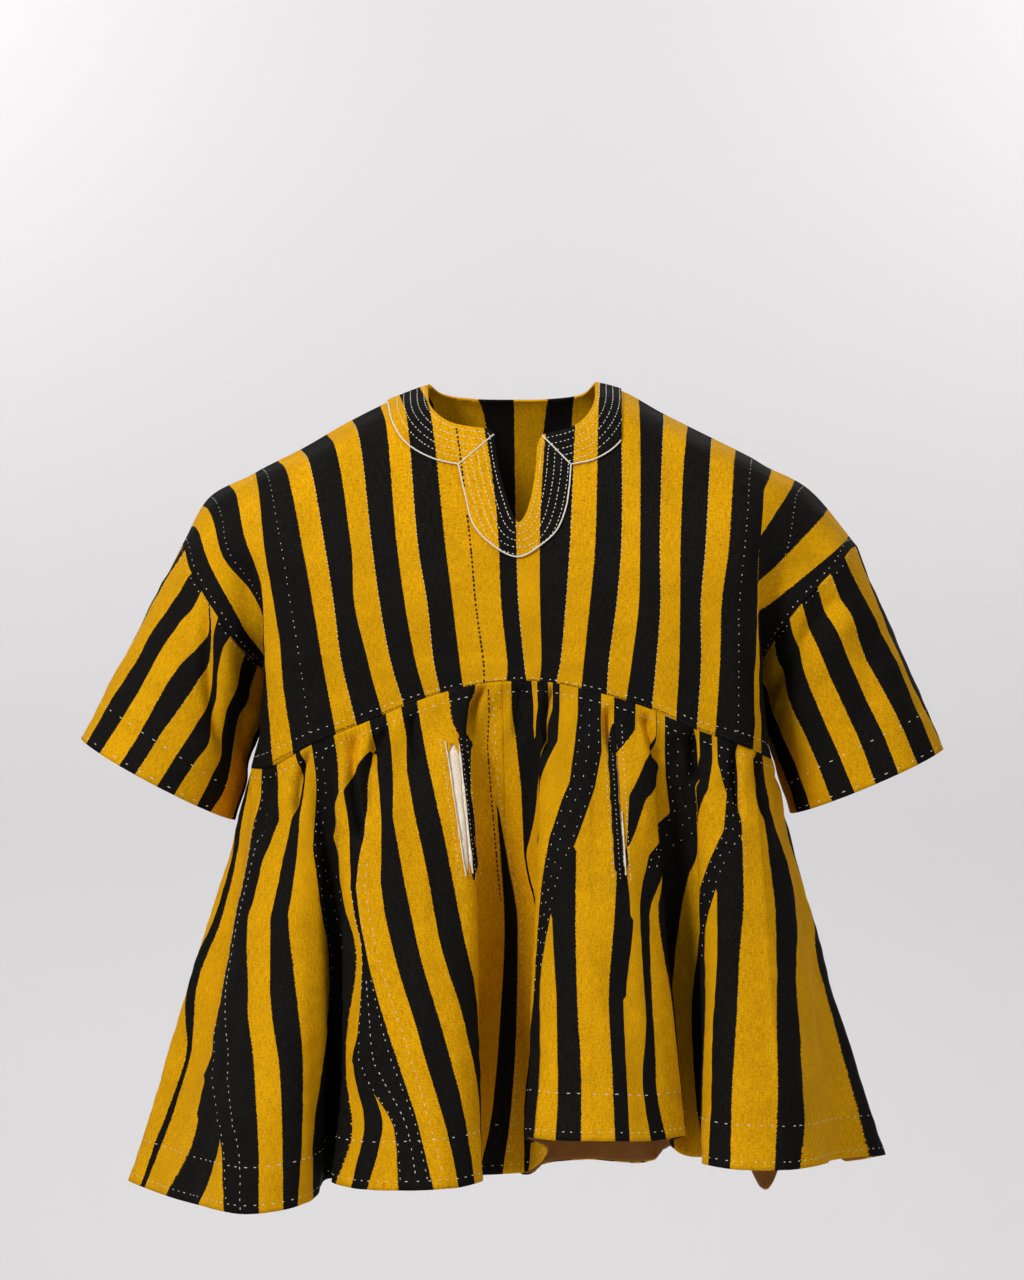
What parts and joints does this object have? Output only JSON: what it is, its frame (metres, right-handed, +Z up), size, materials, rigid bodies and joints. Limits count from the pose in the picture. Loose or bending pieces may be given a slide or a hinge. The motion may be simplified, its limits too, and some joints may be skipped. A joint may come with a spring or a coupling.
{
  "type": "fugu smock",
  "caption": "Hollow worn smock of striped strip cloth with a slit neck, quilted neck band, wide short sleeves, slit pockets and a flared, gathered skirt.",
  "frame": {"origin": "between the two neck points, on the line of the shoulders, where the wearer's shoulders hold the smock", "axes": "+Z up, the smock's front faces -Y, +X to the right of a viewer in front"},
  "size_m": [0.815, 0.458, 0.7808],
  "materials": {
    "striped_cloth": "handwoven cotton strips, golden yellow with black",
    "black_cloth": "handwoven black cotton",
    "brown_facing": "thin plain-woven brown cotton",
    "cream_lining": "thin plain-woven cream cotton",
    "white_thread": "off-white cotton sewing thread"
  },
  "bodies": {
    "root": {"front_yoke": "striped_cloth", "back_yoke": "striped_cloth", "neck_band_front": "striped_cloth", "neck_band_back": "striped_cloth", "sleeve_left": "striped_cloth", "sleeve_right": "striped_cloth", "skirt_front_1": "striped_cloth", "skirt_front_2": "striped_cloth", "skirt_front_3": "striped_cloth", "skirt_front_4": "striped_cloth", "skirt_back_1": "striped_cloth", "skirt_back_2": "striped_cloth", "skirt_back_3": "striped_cloth", "skirt_back_4": "striped_cloth", "gore_1": "striped_cloth", "gore_2": "striped_cloth", "gore_3": "striped_cloth", "gore_4": "striped_cloth", "hem_facing": "brown_facing", "pocket_bag_left": "cream_lining", "pocket_bag_right": "cream_lining", "pocket_welt_left": "black_cloth", "pocket_welt_right": "black_cloth"}
  },
  "joints": []
}
